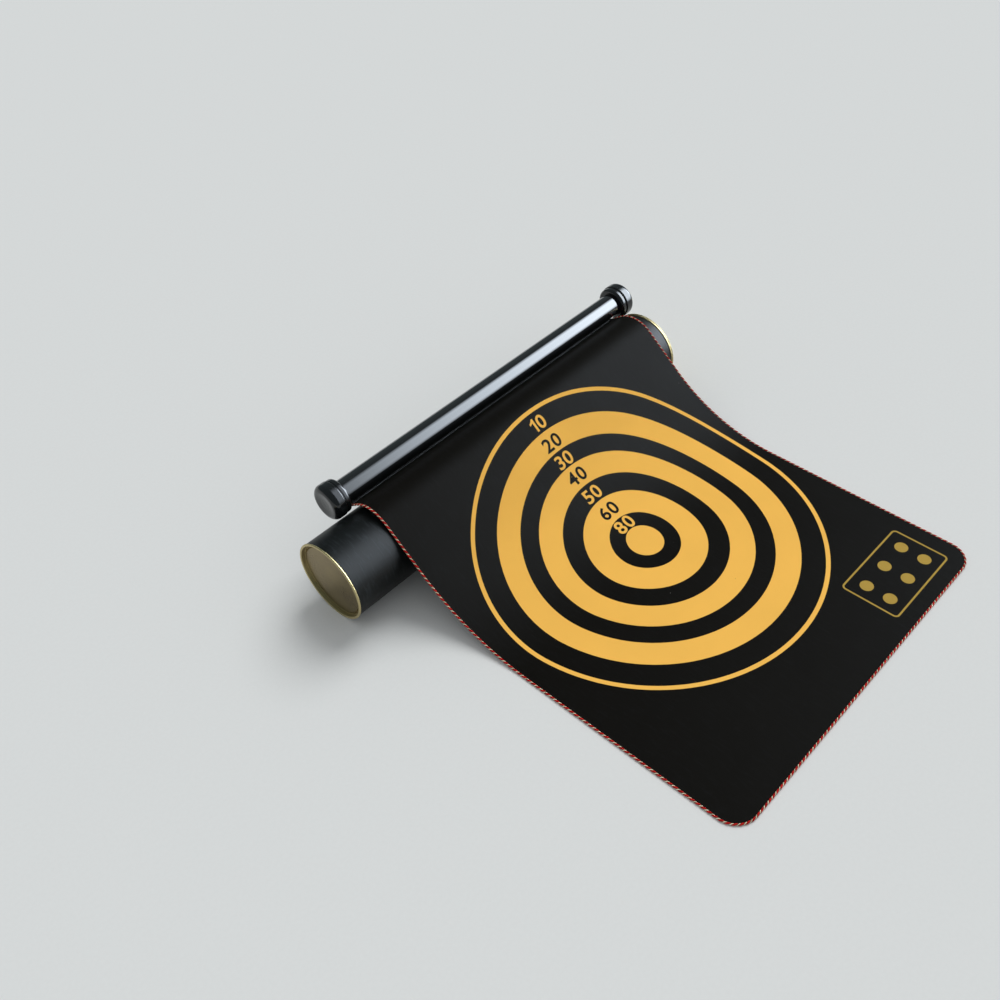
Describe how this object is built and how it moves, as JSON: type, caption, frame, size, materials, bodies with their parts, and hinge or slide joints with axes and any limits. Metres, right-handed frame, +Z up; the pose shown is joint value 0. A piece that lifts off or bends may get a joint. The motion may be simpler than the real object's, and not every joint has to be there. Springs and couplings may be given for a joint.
{
  "type": "magnetic dartboard",
  "caption": "Roll-up magnetic dartboard mat with ring and clock faces, a capped roller and a gold-ended storage canister under its drape.",
  "frame": {"origin": "on the table, under the middle of the whole object", "axes": "+X along the roller and across the mat, +Y from the free edge of the mat to the roller, +Z up"},
  "size_m": [0.487, 0.4836, 0.1068],
  "materials": {
    "mat_black": "satin printed magnetic sheet",
    "edge_cord": "twisted red and cream cord",
    "roller_black": "polished",
    "tape": "black double-sided tape",
    "canister_black": "satin printed paperboard",
    "tin_gold": "gold-lacquered tinplate"
  },
  "bodies": {
    "mat_front": {"mat_front_panel": "mat_black", "edge_cord": "edge_cord"},
    "mat_strip_01": {"mat_panel_01": "mat_black"},
    "mat_strip_02": {"mat_panel_02": "mat_black"},
    "mat_strip_03": {"mat_panel_03": "mat_black"},
    "mat_strip_04": {"mat_panel_04": "mat_black"},
    "mat_strip_05": {"mat_panel_05": "mat_black"},
    "mat_strip_06": {"mat_panel_06": "mat_black"},
    "mat_strip_07": {"mat_panel_07": "mat_black"},
    "mat_strip_08": {"mat_panel_08": "mat_black"},
    "mat_strip_09": {"mat_panel_09": "mat_black"},
    "mat_strip_10": {"mat_panel_10": "mat_black"},
    "mat_strip_11": {"mat_panel_11": "mat_black"},
    "mat_strip_12": {"mat_panel_12": "mat_black"},
    "mat_strip_13": {"mat_panel_13": "mat_black"},
    "mat_strip_14": {"mat_panel_14": "mat_black"},
    "mat_strip_15": {"mat_panel_15": "mat_black"},
    "mat_strip_16": {"mat_panel_16": "mat_black"},
    "mat_strip_17": {"mat_panel_17": "mat_black"},
    "mat_strip_18": {"mat_panel_18": "mat_black"},
    "mat_strip_19": {"mat_panel_19": "mat_black"},
    "mat_strip_20": {"mat_panel_20": "mat_black"},
    "mat_strip_21": {"mat_panel_21": "mat_black"},
    "mat_strip_22": {"mat_panel_22": "mat_black"},
    "roller": {"mat_roller_panel": "mat_black", "adhesive_tape": "tape", "roller_tube": "roller_black", "end_cap_left": "roller_black", "end_cap_right": "roller_black"},
    "canister": {"canister_body": "canister_black", "canister_base": "tin_gold", "canister_ring": "tin_gold"},
    "canister_lid": {"canister_lid": "tin_gold"}
  },
  "joints": [
    {"name": "roll_up", "type": "hinge", "parent": "mat_front", "child": "mat_strip_01", "pos_m": [0, -0.18175, 0.0026], "axis": [1, 0, 0], "range_deg": [0, 26.25]},
    {"name": "roll_02", "type": "hinge", "parent": "mat_strip_01", "child": "mat_strip_02", "pos_m": [0, -0.15385, 0.0026], "axis": [1, 0, 0], "range_deg": [0, 43.74]},
    {"name": "roll_03", "type": "hinge", "parent": "mat_strip_02", "child": "mat_strip_03", "pos_m": [0, -0.12703, 0.0026], "axis": [1, 0, 0], "range_deg": [0, 43.29]},
    {"name": "roll_04", "type": "hinge", "parent": "mat_strip_03", "child": "mat_strip_04", "pos_m": [0, -0.10124, 0.0026], "axis": [1, 0, 0], "range_deg": [0, 42.87]},
    {"name": "roll_05", "type": "hinge", "parent": "mat_strip_04", "child": "mat_strip_05", "pos_m": [0, -0.07644, 0.0026], "axis": [1, 0, 0], "range_deg": [0, 42.49]},
    {"name": "roll_06", "type": "hinge", "parent": "mat_strip_05", "child": "mat_strip_06", "pos_m": [0, -0.05259, 0.0026], "axis": [1, 0, 0], "range_deg": [0, 42.14]},
    {"name": "roll_07", "type": "hinge", "parent": "mat_strip_06", "child": "mat_strip_07", "pos_m": [0, -0.02966, 0.0026], "axis": [1, 0, 0], "range_deg": [0, 41.76]},
    {"name": "roll_08", "type": "hinge", "parent": "mat_strip_07", "child": "mat_strip_08", "pos_m": [0, -0.00762, 0.00262], "axis": [1, 0, 0], "range_deg": [0, 37.72]},
    {"name": "roll_09", "type": "hinge", "parent": "mat_strip_08", "child": "mat_strip_09", "pos_m": [0, 0.01353, 0.00405], "axis": [1, 0, 0], "range_deg": [0, 35.35]},
    {"name": "roll_10", "type": "hinge", "parent": "mat_strip_09", "child": "mat_strip_10", "pos_m": [0, 0.0336, 0.00753], "axis": [1, 0, 0], "range_deg": [0, 35.38]},
    {"name": "roll_11", "type": "hinge", "parent": "mat_strip_10", "child": "mat_strip_11", "pos_m": [0, 0.05248, 0.01279], "axis": [1, 0, 0], "range_deg": [0, 35.46]},
    {"name": "roll_12", "type": "hinge", "parent": "mat_strip_11", "child": "mat_strip_12", "pos_m": [0, 0.07006, 0.01956], "axis": [1, 0, 0], "range_deg": [0, 35.58]},
    {"name": "roll_13", "type": "hinge", "parent": "mat_strip_12", "child": "mat_strip_13", "pos_m": [0, 0.08629, 0.0276], "axis": [1, 0, 0], "range_deg": [0, 35.74]},
    {"name": "roll_14", "type": "hinge", "parent": "mat_strip_13", "child": "mat_strip_14", "pos_m": [0, 0.10115, 0.03669], "axis": [1, 0, 0], "range_deg": [0, 35.97]},
    {"name": "roll_15", "type": "hinge", "parent": "mat_strip_14", "child": "mat_strip_15", "pos_m": [0, 0.11464, 0.04661], "axis": [1, 0, 0], "range_deg": [0, 37.49]},
    {"name": "roll_16", "type": "hinge", "parent": "mat_strip_15", "child": "mat_strip_16", "pos_m": [0, 0.12701, 0.05693], "axis": [1, 0, 0], "range_deg": [0, 40.99]},
    {"name": "roll_17", "type": "hinge", "parent": "mat_strip_16", "child": "mat_strip_17", "pos_m": [0, 0.13888, 0.06689], "axis": [1, 0, 0], "range_deg": [0, 41.45]},
    {"name": "roll_18", "type": "hinge", "parent": "mat_strip_17", "child": "mat_strip_18", "pos_m": [0, 0.15029, 0.07646], "axis": [1, 0, 0], "range_deg": [0, 41.92]},
    {"name": "roll_19", "type": "hinge", "parent": "mat_strip_18", "child": "mat_strip_19", "pos_m": [0, 0.16127, 0.08566], "axis": [1, 0, 0], "range_deg": [0, 55.77]},
    {"name": "roll_20", "type": "hinge", "parent": "mat_strip_19", "child": "mat_strip_20", "pos_m": [0, 0.1735, 0.09177], "axis": [1, 0, 0], "range_deg": [0, 65.87]},
    {"name": "roll_21", "type": "hinge", "parent": "mat_strip_20", "child": "mat_strip_21", "pos_m": [0, 0.18663, 0.09264], "axis": [1, 0, 0], "range_deg": [0, 65.92]},
    {"name": "roll_22", "type": "hinge", "parent": "mat_strip_21", "child": "mat_strip_22", "pos_m": [0, 0.19866, 0.08871], "axis": [1, 0, 0], "range_deg": [0, 61.23]},
    {"name": "roll_23", "type": "hinge", "parent": "mat_strip_22", "child": "roller", "pos_m": [0, 0.2088, 0.08186], "axis": [1, 0, 0], "range_deg": [0, 50.72]},
    {"name": "canister_slide", "type": "slide", "parent": "mat_front", "child": "canister", "axis": [-1, 0, 0], "range_m": [0, 0.43]},
    {"name": "lid_pull", "type": "slide", "parent": "canister", "child": "canister_lid", "axis": [1, 0, 0], "range_m": [0, 0.06]}
  ],
  "couplings": [
    {"joint": "roll_02", "follows": "roll_up", "ratio": 1.6667},
    {"joint": "roll_03", "follows": "roll_up", "ratio": 1.6495},
    {"joint": "roll_04", "follows": "roll_up", "ratio": 1.6336},
    {"joint": "roll_05", "follows": "roll_up", "ratio": 1.6188},
    {"joint": "roll_06", "follows": "roll_up", "ratio": 1.6054},
    {"joint": "roll_07", "follows": "roll_up", "ratio": 1.5912},
    {"joint": "roll_08", "follows": "roll_up", "ratio": 1.4372},
    {"joint": "roll_09", "follows": "roll_up", "ratio": 1.3467},
    {"joint": "roll_10", "follows": "roll_up", "ratio": 1.3481},
    {"joint": "roll_11", "follows": "roll_up", "ratio": 1.3509},
    {"joint": "roll_12", "follows": "roll_up", "ratio": 1.3555},
    {"joint": "roll_13", "follows": "roll_up", "ratio": 1.3619},
    {"joint": "roll_14", "follows": "roll_up", "ratio": 1.3705},
    {"joint": "roll_15", "follows": "roll_up", "ratio": 1.4283},
    {"joint": "roll_16", "follows": "roll_up", "ratio": 1.5617},
    {"joint": "roll_17", "follows": "roll_up", "ratio": 1.5792},
    {"joint": "roll_18", "follows": "roll_up", "ratio": 1.5972},
    {"joint": "roll_19", "follows": "roll_up", "ratio": 2.1248},
    {"joint": "roll_20", "follows": "roll_up", "ratio": 2.5097},
    {"joint": "roll_21", "follows": "roll_up", "ratio": 2.5118},
    {"joint": "roll_22", "follows": "roll_up", "ratio": 2.3331},
    {"joint": "roll_23", "follows": "roll_up", "ratio": 1.9325}
  ]
}
